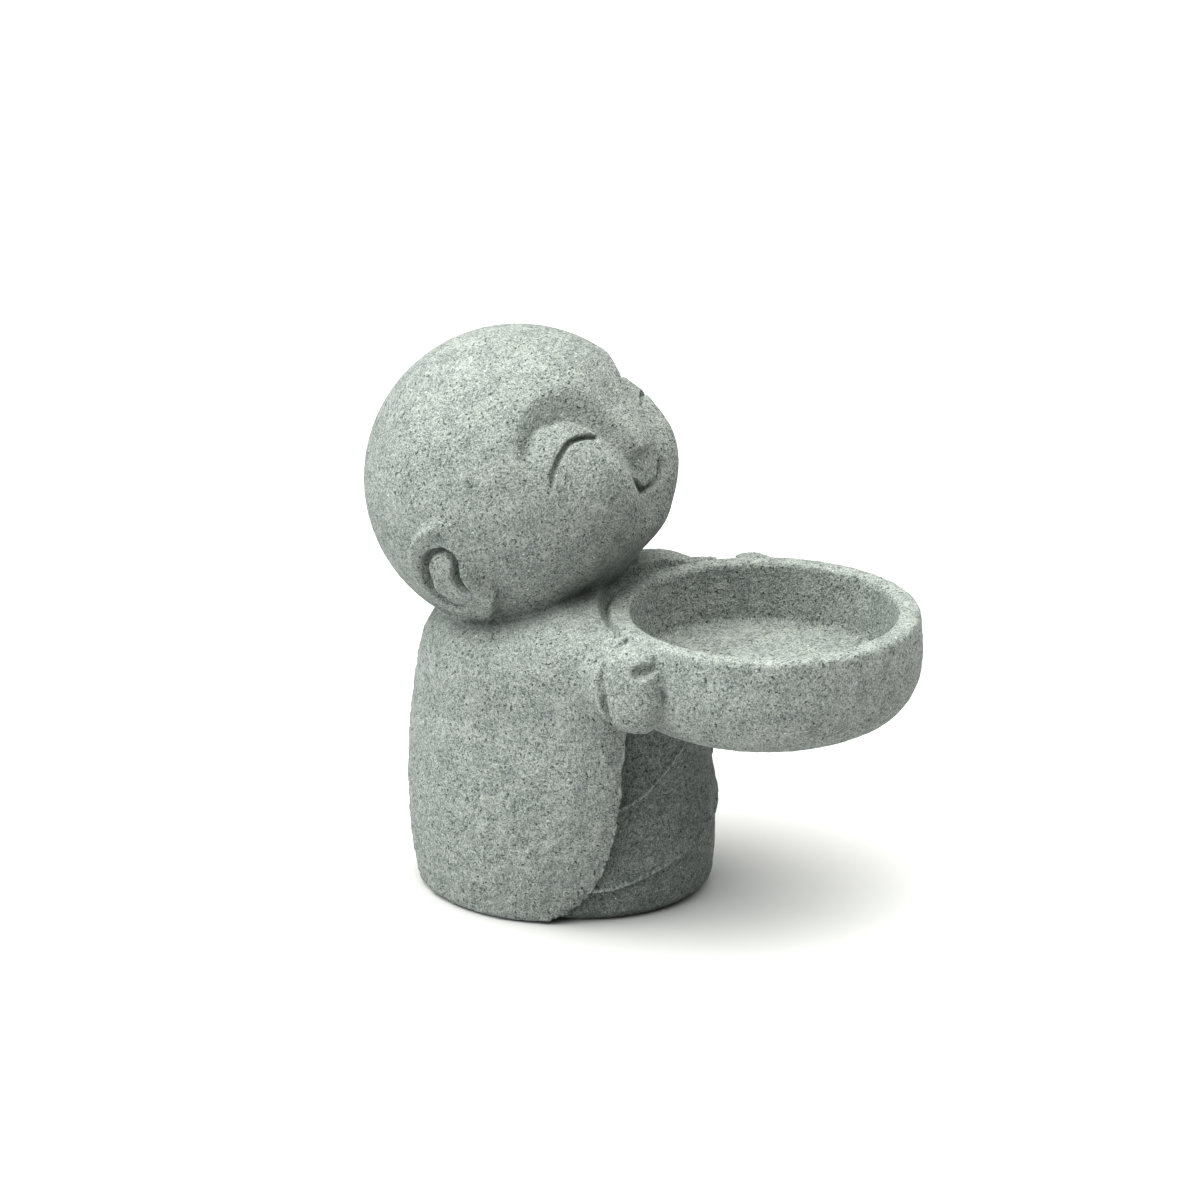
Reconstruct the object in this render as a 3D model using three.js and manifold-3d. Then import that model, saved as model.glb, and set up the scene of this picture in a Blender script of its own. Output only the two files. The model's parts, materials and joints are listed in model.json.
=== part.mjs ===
// A small cast-stone jizo figure that holds a round, shallow dish before its chest.
// The figure, its cloak and the dish are one casting, and it stands on its flat underside.
// Millimetres, +Z up. The figure looks along -Y, its right hand is on -X,
// and the origin is the middle of the underside.
import * as THREE from "three";
import { mergeVertices } from "three/addons/utils/BufferGeometryUtils.js";
import Module from "manifold-3d";

const wasm = await Module();
wasm.setup();

// Driving sizes of the figure
const FIGURE_HEIGHT = 95;
const CLOAK_THICKNESS = 2.3;
const FOLD_STEP = 0.8;
const FOOT_ROUND = 1.6;

// Driving sizes of the dish
const DISH_BORE = 44;
const DISH_DEPTH = 10;
const DISH_FLOOR = 8;
const RIM_WIDTH = 4.3;
const BORE_DRAFT = 1.4;
const RIM_ROUND = 1.1;
const RIM_GROOVE = 0.9;

// Driving sizes of the carving
const EYE_GROOVE = 1.2;
const MOUTH_GROOVE = 1.3;
const EAR_GROOVE = 1.5;
const EAR_ROLL = 3.9;
const GROOVE_SUNK = 0.1;

// The figure's free form is laid out in hundredths of its height.
const part = FIGURE_HEIGHT / 100;

// How finely each round form is faceted
const BODY_COLUMNS = 48;
const ROBE_COLUMNS = 36;
const HEAD_COLUMNS = 48;
const HEAD_ROWS = 31;
const DISH_COLUMNS = 44;
const HAND_COLUMNS = 12;
const HAND_ROWS = 10;
const GROOVE_SIDES = 8;

const STONE = new THREE.MeshStandardMaterial({
  name: "stone",
  color: 0x9aa8a1,
  roughness: 0.95,
  metalness: 0,
});

const radians = THREE.MathUtils.degToRad;
const degrees = THREE.MathUtils.radToDeg;
const smooth = THREE.MathUtils.smoothstep;
const mix = THREE.MathUtils.lerp;

// A closed geometry becomes a solid once the vertices on its seams are one.
function solidFrom(geometry) {
  const bare = geometry.clone();
  bare.deleteAttribute("normal");
  bare.deleteAttribute("uv");
  const closed = mergeVertices(bare, 1e-4);
  return new wasm.Manifold(
    new wasm.Mesh({
      numProp: 3,
      vertProperties: new Float32Array(closed.attributes.position.array),
      triVerts: new Uint32Array(closed.index.array),
    }),
  );
}

// The final solid goes back into a geometry with flat facets.
function geometryFrom(solid) {
  const mesh = solid.getMesh();
  const geometry = new THREE.BufferGeometry();
  geometry.setAttribute("position", new THREE.BufferAttribute(mesh.vertProperties, 3));
  geometry.setIndex(new THREE.BufferAttribute(mesh.triVerts, 1));
  const facets = geometry.toNonIndexed();
  facets.computeVertexNormals();
  return facets;
}

// Moves every vertex of a geometry by a function that changes the point it is given.
function reshape(geometry, move) {
  const place = geometry.attributes.position;
  const point = new THREE.Vector3();
  for (let i = 0; i < place.count; i += 1) {
    move(point.fromBufferAttribute(place, i));
    place.setXYZ(i, point.x, point.y, point.z);
  }
  return geometry;
}

// The same form on the figure's other side: x changes sign and each face turns round.
function otherSide(geometry) {
  const twin = mergeVertices(geometry.clone(), 1e-4);
  twin.scale(-1, 1, 1);
  const corners = twin.index.array;
  for (let i = 0; i < corners.length; i += 3) {
    [corners[i + 1], corners[i + 2]] = [corners[i + 2], corners[i + 1]];
  }
  return twin;
}

// Joins a solid with a form and its mirror image, or cuts both away.
const addPair = (solid, form) => solid.add(solidFrom(form)).add(solidFrom(otherSide(form)));
const cutPair = (solid, form) => solid.subtract(solidFrom(form)).subtract(solidFrom(otherSide(form)));

// A turned form stands on +Z; three.js turns a profile about +Y.
const turned = (profile, columns) => new THREE.LatheGeometry(profile, columns).rotateX(Math.PI / 2);

// A round rod along a curve, with flat ends
function rod(points, diameter, steps, sides = GROOVE_SIDES) {
  const circle = new THREE.Shape();
  for (let i = 0; i < sides; i += 1) {
    const turn = (i / sides) * 2 * Math.PI;
    const corner = [(diameter / 2) * Math.cos(turn), (diameter / 2) * Math.sin(turn)];
    if (i === 0) circle.moveTo(...corner);
    else circle.lineTo(...corner);
  }
  circle.closePath();
  const path = new THREE.CatmullRomCurve3(points);
  return new THREE.ExtrudeGeometry(circle, { steps, extrudePath: path, bevelEnabled: false });
}

// An ellipsoid with its half-axes along X, Y and Z
function ellipsoid(halfX, halfY, halfZ) {
  return new THREE.SphereGeometry(1, HAND_COLUMNS, HAND_ROWS).scale(halfX, halfY, halfZ);
}

// The dish hangs before the chest, its back wall a little way inside the body.
const boreRadius = DISH_BORE / 2;
const dishRadius = boreRadius + RIM_WIDTH;
const rimTop = 55.8 * part;
const boreFloor = rimTop - DISH_DEPTH;
const dishUnder = boreFloor - DISH_FLOOR;
const dishBack = -11.4 * part;
const dishMiddle = dishBack - dishRadius;

// The outer wall of the dish swells a little below the rim and turns in to a small flat underside.
function dishSolid() {
  const height = rimTop - dishUnder;
  const flat = dishRadius * 0.72;
  const wall = new THREE.SplineCurve([
    new THREE.Vector2(flat, dishUnder),
    new THREE.Vector2(dishRadius * 0.87, dishUnder + height * 0.12),
    new THREE.Vector2(dishRadius * 0.965, dishUnder + height * 0.32),
    new THREE.Vector2(dishRadius, dishUnder + height * 0.58),
    new THREE.Vector2(dishRadius * 0.985, rimTop - RIM_ROUND),
  ]);
  const rimEdge = dishRadius * 0.985;
  const profile = [
    new THREE.Vector2(0, dishUnder),
    ...wall.getPoints(7),
    new THREE.Vector2(rimEdge - RIM_ROUND * 0.3, rimTop - RIM_ROUND * 0.3),
    new THREE.Vector2(rimEdge - RIM_ROUND, rimTop),
    new THREE.Vector2(0, rimTop),
  ];
  return solidFrom(turned(profile, DISH_COLUMNS).translate(0, dishMiddle, 0));
}

// The bore narrows towards its floor and its mouth is eased where it meets the rim.
function boreSolid() {
  const above = rimTop + RIM_ROUND;
  const profile = [
    new THREE.Vector2(0, boreFloor),
    new THREE.Vector2(boreRadius - BORE_DRAFT - RIM_ROUND, boreFloor),
    new THREE.Vector2(boreRadius - BORE_DRAFT, boreFloor + RIM_ROUND),
    new THREE.Vector2(boreRadius - RIM_ROUND * 0.3, rimTop - RIM_ROUND),
    new THREE.Vector2(boreRadius + RIM_ROUND * 0.4, rimTop),
    new THREE.Vector2(boreRadius + RIM_ROUND * 0.4, above),
    new THREE.Vector2(0, above),
  ];
  return solidFrom(turned(profile, DISH_COLUMNS).translate(0, dishMiddle, 0));
}

// Room round the rim: the chest stops short of it and leaves a narrow groove.
function rimRoom() {
  const reach = dishRadius + RIM_GROOVE / 2;
  const profile = [
    new THREE.Vector2(0, rimTop - RIM_GROOVE * 2),
    new THREE.Vector2(reach - RIM_GROOVE, rimTop - RIM_GROOVE * 2),
    new THREE.Vector2(reach, rimTop - RIM_GROOVE),
    new THREE.Vector2(reach + RIM_GROOVE * 0.6, rimTop + RIM_GROOVE),
    new THREE.Vector2(reach + RIM_GROOVE * 2, FIGURE_HEIGHT),
    new THREE.Vector2(0, FIGURE_HEIGHT),
  ];
  return solidFrom(turned(profile, DISH_COLUMNS).translate(0, dishMiddle, 0));
}

// The body is a barrel that is widest at a fifth of its height and leans in at the shoulders.
const bodyProfile = new THREE.SplineCurve(
  [
    [25.5, 2],
    [26.5, 9],
    [26.9, 19],
    [26.4, 30],
    [24.9, 40.5],
    [22.9, 47.4],
    [19.5, 51.4],
    [13, 53.4],
    [0, 54],
  ].map(([radius, height]) => new THREE.Vector2(radius * part, height * part)),
);
const SHOULDERS_START = 34 * part;
const SHOULDERS_FULL = 50 * part;
const SHOULDER_SPREAD = 0.13;
const CHEST_RISE = 3.4 * part;

// Under each raised arm the cloak hangs forward: it swells towards the bearing of the arm.
const ARM_BEARING = 47;
const ARM_BREADTH = 24;
const ARM_SWELL = 0.26;

function cloakGeometry() {
  const rows = 12;
  const foot = bodyProfile.getPoint(0);
  const profile = [
    new THREE.Vector2(0, 0),
    new THREE.Vector2(foot.x - FOOT_ROUND, 0),
    new THREE.Vector2(foot.x - FOOT_ROUND * 0.3, FOOT_ROUND * 0.35),
    ...bodyProfile.getPoints(rows),
  ];
  profile[profile.length - 1].x = 0;
  return reshape(turned(profile, BODY_COLUMNS), (p) => {
    const fromArm = (degrees(Math.atan2(Math.abs(p.x), -p.y)) - ARM_BEARING) / ARM_BREADTH;
    const swell = 1 + ARM_SWELL * Math.exp(-fromArm * fromArm) * smooth(p.z, -6 * part, 52 * part);
    const high = smooth(p.z, SHOULDERS_START, SHOULDERS_FULL);
    const ahead = smooth(-p.y, -4 * part, 10 * part);
    p.x *= swell * (1 + SHOULDER_SPREAD * high);
    p.y *= swell;
    p.z += CHEST_RISE * high * ahead;
  });
}

// The cloak is open down the front: a gap that widens towards the ground.
function cloakGap() {
  const far = 60 * part;
  const side = new THREE.SplineCurve(
    [
      [23.5, -1],
      [21.4, 3],
      [20.9, 10],
      [21.2, 22],
      [21.5, 31],
      [20.4, 45],
    ].map(([x, z]) => new THREE.Vector2(x * part, z * part)),
  ).getPoints(14);
  const outline = new THREE.Shape([
    ...side,
    ...side.toReversed().map((p) => new THREE.Vector2(-p.x, p.y)),
  ]);
  const gap = new THREE.ExtrudeGeometry(outline, { depth: far, bevelEnabled: false });
  return solidFrom(gap.rotateX(Math.PI / 2));
}

// The under-robe stands a little forward and swells there, so that the belly fills the gap in the cloak.
const BELLY = 2.3 * part;
const BELLY_SWELL = 0.055;

// The under-robe is wrapped to the figure's left: each fold's hem climbs from the right.
// A fold is its height at the figure's right, how far it leans up evenly, and how far it then turns up.
const FOLDS = [
  { low: 6.7, lean: 11, turn: 1 },
  { low: 21.3, lean: 0, turn: 12.9 },
];
const FOLD_REACH = 52;
const TURN_FROM = -52;
const TURN_TO = 10;

function foldHeight(fold, sideways) {
  const across = (FOLD_REACH - sideways) / (2 * FOLD_REACH);
  const evenly = THREE.MathUtils.clamp(across, 0, 1);
  return part * (fold.low + fold.lean * evenly + fold.turn * smooth(-sideways, TURN_FROM, TURN_TO));
}

// Every fold lies on the one below: the cloth above a hem stands out there and thins upwards.
function robeGeometry() {
  const rowsPerFold = 3;
  const top = 48 * part;
  const levels = [];
  for (let k = 0; k <= FOLDS.length; k += 1) {
    for (let row = 0; row <= rowsPerFold; row += 1) {
      levels.push({ below: k - 1, above: k, share: row / rowsPerFold });
    }
  }
  const levelHeight = (level, sideways) => {
    const low = level.below < 0 ? FOOT_ROUND : foldHeight(FOLDS[level.below], sideways);
    const high = level.above < FOLDS.length ? foldHeight(FOLDS[level.above], sideways) : top;
    return mix(low, Math.max(high, low + part / 10), level.share);
  };
  const profile = [
    new THREE.Vector2(0, 0),
    new THREE.Vector2(1, 0),
    ...levels.map((_, i) => new THREE.Vector2(1, 1 + i)),
    new THREE.Vector2(0, levels.length + 1),
  ];
  const outer = (height) => {
    for (let i = 0; i <= 60; i += 1) {
      const p = bodyProfile.getPoint(i / 60);
      if (p.y >= height) return p.x;
    }
    return 0;
  };
  return reshape(turned(profile, ROBE_COLUMNS), (p) => {
    const across = Math.hypot(p.x, p.y);
    if (across < 0.5) {
      p.z = p.z < 0.5 ? 0 : top + 1;
      return;
    }
    const sideways = degrees(Math.atan2(-p.x, -p.y));
    const level = levels[Math.round(p.z) - 1];
    const height = level ? levelHeight(level, sideways) : 0;
    const standing = level && level.below >= 0 ? FOLD_STEP * (1 - level.share) ** 2 : 0;
    const foot = level ? 0 : FOOT_ROUND;
    const radius = outer(Math.max(height, 2 * part)) - CLOAK_THICKNESS + standing - foot;
    const turn = Math.atan2(p.x, -p.y);
    const ahead = radius * Math.cos(turn);
    p.set(radius * Math.sin(turn), -ahead - BELLY_SWELL * Math.max(ahead, 0) - BELLY, height);
  });
}

// A hand holds the dish wall at this bearing from the back of the dish.
const HAND_BEARING = radians(63);
const hand = {
  x: -(dishRadius + 1.2 * part) * Math.sin(HAND_BEARING),
  y: dishMiddle + (dishRadius + 1.2 * part) * Math.cos(HAND_BEARING),
  z: rimTop - 8.1 * part,
};

// The sleeve hangs from the arm like a drop, rises a little and ends in a cuff just behind the hand.
const ARM_LIFT = radians(8);

function sleeveGeometry() {
  const shoulder = new THREE.Vector3(-16.5 * part, 3 * part, 0);
  const cuff = new THREE.Vector3(hand.x + 6.2 * part, hand.y + 5.4 * part, 0);
  const outline = new THREE.SplineCurve(
    [
      [-2, 0.6],
      [3, 0],
      [6.6, -3],
      [7.6, -7.5],
      [6, -12.5],
      [1.5, -17],
      [-3, -19],
    ].map(([x, z]) => new THREE.Vector2(-x * part, z * part)),
  ).getPoints(14);
  const drop = new THREE.Shape([
    ...outline,
    new THREE.Vector2(8 * part, -19 * part),
    new THREE.Vector2(8 * part, 0.6 * part),
  ]);
  const run = cuff.clone().sub(shoulder);
  const sleeve = new THREE.ExtrudeGeometry(drop, { depth: run.length(), bevelEnabled: false });
  sleeve.rotateX(Math.PI / 2 - ARM_LIFT);
  sleeve.rotateZ(Math.atan2(run.x, -run.y));
  return sleeve.translate(shoulder.x, shoulder.y, rimTop - 4 * part);
}

// A mitten hand with the thumb laid over it towards the rim
function handGeometry() {
  return ellipsoid(4.9 * part, 6.4 * part, 8.1 * part).translate(hand.x, hand.y, hand.z);
}
function thumbGeometry() {
  const thumb = ellipsoid(3 * part, 5.2 * part, 2.8 * part).rotateX(radians(-12));
  return thumb.translate(hand.x + 1.2 * part, hand.y - 1.4 * part, rimTop - 2.2 * part);
}

// The head is a ball that looks up; its carving is laid out in degrees on its face:
// bearing 0 is straight ahead and grows towards the figure's right ear, and rise 0 is eye level.
const HEAD_RADIUS = 27 * part;
const HEAD_MIDDLE = new THREE.Vector3(0, 7.9 * part, FIGURE_HEIGHT - HEAD_RADIUS);
const HEAD_PITCH = radians(33);

// The hollow under the brow starts at the temple, passes over the eye and runs down beside the nose.
const BROW_HOLLOW = new THREE.CatmullRomCurve3(
  [
    [58, 2],
    [51, 12],
    [43, 18],
    [34, 19],
    [25, 14],
    [19, 6],
    [14, -3],
    [11, -11],
  ].map(([bearing, rise]) => new THREE.Vector3(bearing, rise, 0)),
);
const HOLLOW_STEPS = 24;
const hollowPoints = BROW_HOLLOW.getPoints(HOLLOW_STEPS);

function browHollow(bearing, rise) {
  let deepest = 0;
  hollowPoints.forEach((p, i) => {
    const along = i / HOLLOW_STEPS;
    const depth = mix(1, 2.5, smooth(along, 0, 0.7)) * mix(1, 0.55, smooth(along, 0.75, 1));
    const width = mix(5, 7.5, smooth(along, 0, 0.6));
    const away = Math.hypot(bearing - p.x, rise - p.y) / width;
    deepest = Math.max(deepest, depth * Math.exp(-away * away));
  });
  return deepest * part;
}

// A soft swelling on the head, centred on a bearing and a rise
function swelling(bearing, rise, middle, spread, height) {
  const a = (bearing - middle[0]) / spread[0];
  const b = (rise - middle[1]) / spread[1];
  return height * part * Math.exp(-a * a - b * b);
}

function headRadius(bearing, rise) {
  const side = Math.abs(bearing);
  return (
    HEAD_RADIUS -
    browHollow(side, rise) +
    swelling(side, rise, [32, -16], [24, 17], 1.5) +
    swelling(side, rise, [0, -9], [6.5, 7], 1) -
    swelling(side, rise, [0, -25], [13, 8], 1.4)
  );
}

// The place on the head at a bearing and a rise, lifted off the surface
function onHead(bearing, rise, lift = 0) {
  const b = radians(bearing);
  const r = radians(rise);
  const radius = headRadius(bearing, rise) + lift;
  const p = new THREE.Vector3(-Math.sin(b) * Math.cos(r), -Math.cos(b) * Math.cos(r), Math.sin(r));
  p.multiplyScalar(radius).applyAxisAngle(new THREE.Vector3(1, 0, 0), -HEAD_PITCH);
  return p.add(HEAD_MIDDLE);
}

// The ball's columns crowd towards the face, where the carving is.
function headGeometry() {
  const crowd = 0.42;
  return reshape(new THREE.SphereGeometry(1, HEAD_COLUMNS, HEAD_ROWS).rotateX(Math.PI / 2), (p) => {
    const turn = Math.atan2(-p.x, -p.y);
    const rise = degrees(Math.asin(THREE.MathUtils.clamp(p.z, -1, 1)));
    const bearing = degrees(turn - crowd * Math.sin(turn));
    const crowded = rise - 12 * Math.sin(radians(2 * rise));
    p.copy(onHead(bearing, crowded));
  });
}

// The ear stands on a low pad: a thick rod, upright on the side of the head and mostly sunk in it.
const PAD_BEARING = 106.5;
const PAD_TOP = -10;
const PAD_LOW = -31;
const PAD_BREADTH = 9 * part;
const PAD_SUNK = 3 * part;

// How far the pad stands off the head at a bearing and a rise
function padLift(bearing, rise) {
  const onPad = THREE.MathUtils.clamp(rise, PAD_LOW, PAD_TOP);
  const sideways = (bearing - PAD_BEARING) * Math.cos(radians(rise));
  const away = radians(Math.hypot(sideways, rise - onPad)) * HEAD_RADIUS;
  const radius = PAD_BREADTH / 2;
  return away < radius ? Math.max(Math.sqrt(radius * radius - away * away) - PAD_SUNK, 0) : 0;
}

// A carved line on the head through a few stations: it follows the surface, a little below it,
// and rises out of it at both ends.
function carvedLine(stations, diameter, depth, steps) {
  const plan = new THREE.SplineCurve(stations.map(([bearing, rise]) => new THREE.Vector2(bearing, rise)));
  const points = plan.getPoints(steps).map(({ x: bearing, y: rise }, i) => {
    const fromMiddle = Math.abs(i / steps - 0.5) * 2;
    const lift = padLift(Math.abs(bearing), rise) - depth + diameter * 0.45 * fromMiddle ** 6;
    return onHead(bearing, rise, lift);
  });
  return rod(points, diameter, steps);
}

const EYE_LINE = [
  [21.6, 0.3],
  [28.1, 3.2],
  [34.4, 4.2],
  [39.6, 2.7],
  [44.6, -0.2],
  [49, -4.6],
  [51.5, -8.5],
];
const MOUTH_SIDE = [
  [13.8, -20.6],
  [12, -24],
  [10, -26.8],
  [7, -28.2],
  [3.5, -28],
];
const MOUTH_LINE = [
  ...MOUTH_SIDE,
  [0, -27.4],
  ...MOUTH_SIDE.map(([bearing, rise]) => [-bearing, rise]).toReversed(),
];
const EAR_RIM = [
  [91, -7],
  [95, 0],
  [103, 1.5],
  [111, -2.5],
  [116.5, -10],
  [119, -20],
  [119, -30],
  [114, -37],
  [105, -38],
  [97, -34],
];

// One line carves the ear: from its mouth up the front, over the top and down inside the rolled rim.
const EAR_LINE = [
  [97.5, -27.5],
  [100.6, -20.7],
  [98, -16.1],
  [95.3, -11],
  [98.5, -6.3],
  [103.5, -6],
  [109.5, -10.5],
  [113.6, -18.2],
  [112.5, -25.1],
  [107, -29.8],
];
const RIM_SUNK = 0.2;

function earForms() {
  const rim = rod(EAR_RIM.map(([b, r]) => onHead(b, r, -RIM_SUNK * EAR_ROLL)), EAR_ROLL, 18);
  const padLine = [PAD_TOP, mix(PAD_TOP, PAD_LOW, 0.5), PAD_LOW];
  const pad = rod(padLine.map((rise) => onHead(PAD_BEARING, rise, -PAD_SUNK)), PAD_BREADTH, 4, 10);
  return { rim, pad };
}

function statueSolid() {
  const cloak = solidFrom(cloakGeometry()).subtract(cloakGap());
  const { rim, pad } = earForms();
  let body = addPair(cloak, sleeveGeometry()).subtract(rimRoom());
  body = body.add(solidFrom(robeGeometry()).subtract(rimRoom())).add(dishSolid());
  body = addPair(addPair(body, handGeometry()), thumbGeometry()).subtract(boreSolid());
  let head = addPair(addPair(solidFrom(headGeometry()), rim), pad);
  head = cutPair(head, carvedLine(EYE_LINE, EYE_GROOVE, GROOVE_SUNK, 16));
  head = head.subtract(solidFrom(carvedLine(MOUTH_LINE, MOUTH_GROOVE, GROOVE_SUNK, 18)));
  head = cutPair(head, carvedLine(EAR_LINE, EAR_GROOVE, GROOVE_SUNK, 26));
  return body.add(head);
}

const statue = new THREE.Mesh(geometryFrom(statueSolid()), STONE);
statue.name = "statue";

const figure = new THREE.Group();
figure.add(statue);

export default figure;
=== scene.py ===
# %% [markdown]
# # A stone jizo with a dish, finished in Blender
# The real object is one casting: crushed stone in a binder, poured into a soft mould, then brushed so that
# the skin of binder is gone and the grain shows. The casting is made here as a sculptor would: plain
# masses first, then one skin over all of them, then the carving, and last the grain of the stone.

# %% Load the frame
import json
import math

import bpy
import numpy as np
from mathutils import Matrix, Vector


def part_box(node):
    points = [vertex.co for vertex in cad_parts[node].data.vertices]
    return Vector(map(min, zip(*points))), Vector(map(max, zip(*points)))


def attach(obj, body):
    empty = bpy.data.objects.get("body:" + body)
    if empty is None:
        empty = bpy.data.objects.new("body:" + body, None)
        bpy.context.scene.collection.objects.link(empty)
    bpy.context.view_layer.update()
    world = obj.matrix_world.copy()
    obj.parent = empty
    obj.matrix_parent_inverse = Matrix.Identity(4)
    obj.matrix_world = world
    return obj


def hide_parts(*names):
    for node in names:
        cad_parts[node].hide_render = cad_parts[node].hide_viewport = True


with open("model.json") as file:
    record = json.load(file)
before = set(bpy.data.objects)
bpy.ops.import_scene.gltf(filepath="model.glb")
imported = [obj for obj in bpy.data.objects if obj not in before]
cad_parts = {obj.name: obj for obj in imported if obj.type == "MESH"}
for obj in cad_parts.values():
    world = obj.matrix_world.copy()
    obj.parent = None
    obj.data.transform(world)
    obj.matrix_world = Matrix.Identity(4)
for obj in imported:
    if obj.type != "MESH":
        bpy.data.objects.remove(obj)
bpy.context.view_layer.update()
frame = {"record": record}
foot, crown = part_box("statue")
print("CAD box", [round(v, 4) for v in (*foot, *crown)])

# %% [markdown]
# ## The sizes that everything follows
# The frame gives the height of the figure and where the dish is. A figure's free form is laid out in parts,
# hundredths of its height, as a sculptor measures with one stick, so a point is written in parts here and
# becomes metres when it is placed.

# %% Sizes from the frame
HEIGHT = crown.z
PART = HEIGHT / 100
MM = 0.001
mounts = {m["name"]: Vector(m["pos_m"]) for m in frame["record"]["mounts"]}
dish_middle = mounts["dish_floor"].y / PART
bore_floor = mounts["dish_floor"].z / PART
dish_radius = dish_middle - foot.y / PART
DISH_DEPTH = 10 * MM / PART
DISH_FLOOR = 8 * MM / PART
RIM_WIDTH = 4.3 * MM / PART
BORE_DRAFT = 1.4 * MM / PART
RIM_ROUND = 1.1 * MM / PART
RIM_GROOVE = 0.9 * MM / PART
ROUND_STEPS = 6
CLOAK_THICKNESS = 2.3 * MM / PART
FOLD_STEP = 0.55 * MM / PART
FOLD_BEAD = 0.55 * MM / PART
BEAD_WIDTH = 0.7 * MM / PART
FOOT_ROUND = 1.6 * MM / PART
rim_top = bore_floor + DISH_DEPTH
dish_under = bore_floor - DISH_FLOOR
bore_radius = dish_radius - RIM_WIDTH
print(f"one part is {PART / MM:.3f} mm, the dish is {2 * dish_radius * PART / MM:.1f} mm across")

# %% [markdown]
# ## Helpers of the bench
# An operator works on all that is selected, so everything is deselected before a new form is started.
# A form is reshaped by one function that takes all its points at once and gives them back moved.

# %% Selecting, and reading and writing points
SAME_POINT = 0.001 * MM


def smooth(value, start, end):
    t = np.clip((value - start) / (end - start), 0, 1)
    return t * t * (3 - 2 * t)


def select_only(thing):
    bpy.ops.object.select_all(action="DESELECT")
    thing.select_set(True)
    bpy.context.view_layer.objects.active = thing


def points_of(form):
    flat = np.empty(len(form.data.vertices) * 3)
    form.data.vertices.foreach_get("co", flat)
    return flat.reshape(-1, 3) / PART


def set_points(form, points):
    form.data.vertices.foreach_set("co", (points * PART).ravel())
    form.data.update()


def reshape(form, move):
    set_points(form, move(points_of(form)))
    return form


def finish_form(form, name):
    select_only(form)
    form.name = form.data.name = name
    bpy.ops.object.transform_apply(location=True, rotation=True, scale=True)
    bpy.ops.object.mode_set(mode="EDIT")
    bpy.ops.mesh.select_all(action="SELECT")
    bpy.ops.mesh.remove_doubles(threshold=SAME_POINT)
    bpy.ops.mesh.normals_make_consistent(inside=False)
    bpy.ops.object.mode_set(mode="OBJECT")
    print(f"{name}: {len(form.data.vertices)} points")
    return form


# %% [markdown]
# A turned form is raised like a pot of coils, ring upon ring. A spin of the profile would give the same
# skin, but an open one, and the booleans to come need a closed form.

# %% Raising a form ring by ring


def raise_rings(name, profile, columns, middle=(0, 0)):
    """A closed turned form: a disc that is extruded and scaled from one ring of the profile to the next."""
    (radius, height), *rest = profile
    bpy.ops.object.select_all(action="DESELECT")
    bpy.ops.mesh.primitive_circle_add(
        vertices=columns, radius=radius * PART, fill_type="NGON", location=(0, 0, height * PART)
    )
    form = bpy.context.object
    bpy.ops.object.transform_apply(location=True)
    bpy.ops.object.mode_set(mode="EDIT")
    bpy.ops.mesh.select_all(action="SELECT")
    for next_radius, next_height in rest:
        rise = (0, 0, (next_height - height) * PART)
        bpy.ops.mesh.extrude_region_move(TRANSFORM_OT_translate={"value": rise})
        scale = next_radius / radius
        bpy.ops.transform.resize(value=(scale, scale, 1), center_override=(0, 0, next_height * PART))
        radius, height = next_radius, next_height
    bpy.ops.object.mode_set(mode="OBJECT")
    form.location = (middle[0] * PART, middle[1] * PART, 0)
    return finish_form(form, name)


def through(stations, count):
    """A smooth line through a few stations, as many points as asked for."""
    stations = np.array(stations, float)
    padded = np.vstack([2 * stations[0] - stations[1], stations, 2 * stations[-1] - stations[-2]])
    places = np.linspace(0, len(stations) - 1, count)
    start = np.minimum(places.astype(int), len(stations) - 2)
    t = (places - start)[:, None]
    a, b, c, d = (padded[start + k] for k in range(4))
    return 0.5 * (2 * b + (c - a) * t + (2 * a - 5 * b + 4 * c - d) * t**2 + (3 * b - a - 3 * c + d) * t**3)


# %% [markdown]
# ## The masses
# The body is a barrel, the under-robe a second barrel inside it, and the head a ball. They could be lofted
# from curves, but a turned form that is swollen by a smooth function keeps an even grid of faces, which
# takes carving well. The cloak swells where the arms lift it.

# %% The cloak
BODY_COLUMNS = 256
BODY_RINGS = 90
BODY_PROFILE = [
    (25.5, 2), (26.5, 9), (26.9, 19), (26.4, 30), (24.9, 40.5),
    (22.9, 47.4), (19.5, 51.4), (13, 53.4), (0.4, 54),
]
SHOULDER_HEIGHTS = (34, 50)
SHOULDER_SPREAD = 0.13
CHEST_RISE = 3.4
CHEST_AHEAD = (-4, 10)
ARM_BEARING = 47
ARM_BREADTH = 24
ARM_SWELL = 0.26
ARM_HEIGHTS = (-6, 52)
body_line = through(BODY_PROFILE, BODY_RINGS)


def under_the_arms(p):
    x, y, z = p.T
    from_arm = (np.degrees(np.arctan2(np.abs(x), -y)) - ARM_BEARING) / ARM_BREADTH
    swell = 1 + ARM_SWELL * np.exp(-from_arm**2) * smooth(z, *ARM_HEIGHTS)
    high = smooth(z, *SHOULDER_HEIGHTS)
    ahead = smooth(-y, *CHEST_AHEAD)
    return np.stack([x * swell * (1 + SHOULDER_SPREAD * high), y * swell, z + CHEST_RISE * high * ahead], 1)


foot_line = [
    (body_line[0][0] - FOOT_ROUND * (1 - math.sin(turn)), FOOT_ROUND * (1 - math.cos(turn)))
    for turn in np.linspace(0, math.pi / 2, ROUND_STEPS)
]
cloak = raise_rings("cloak", [*foot_line, *body_line[1:]], BODY_COLUMNS)
reshape(cloak, under_the_arms)

# %% [markdown]
# The cloak hangs open in front. The gap is a tool of its own, an outline pushed through from the front,
# and a boolean takes it away. Moving points would do it too, but a cut leaves the crisp edge of cloth.

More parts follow.
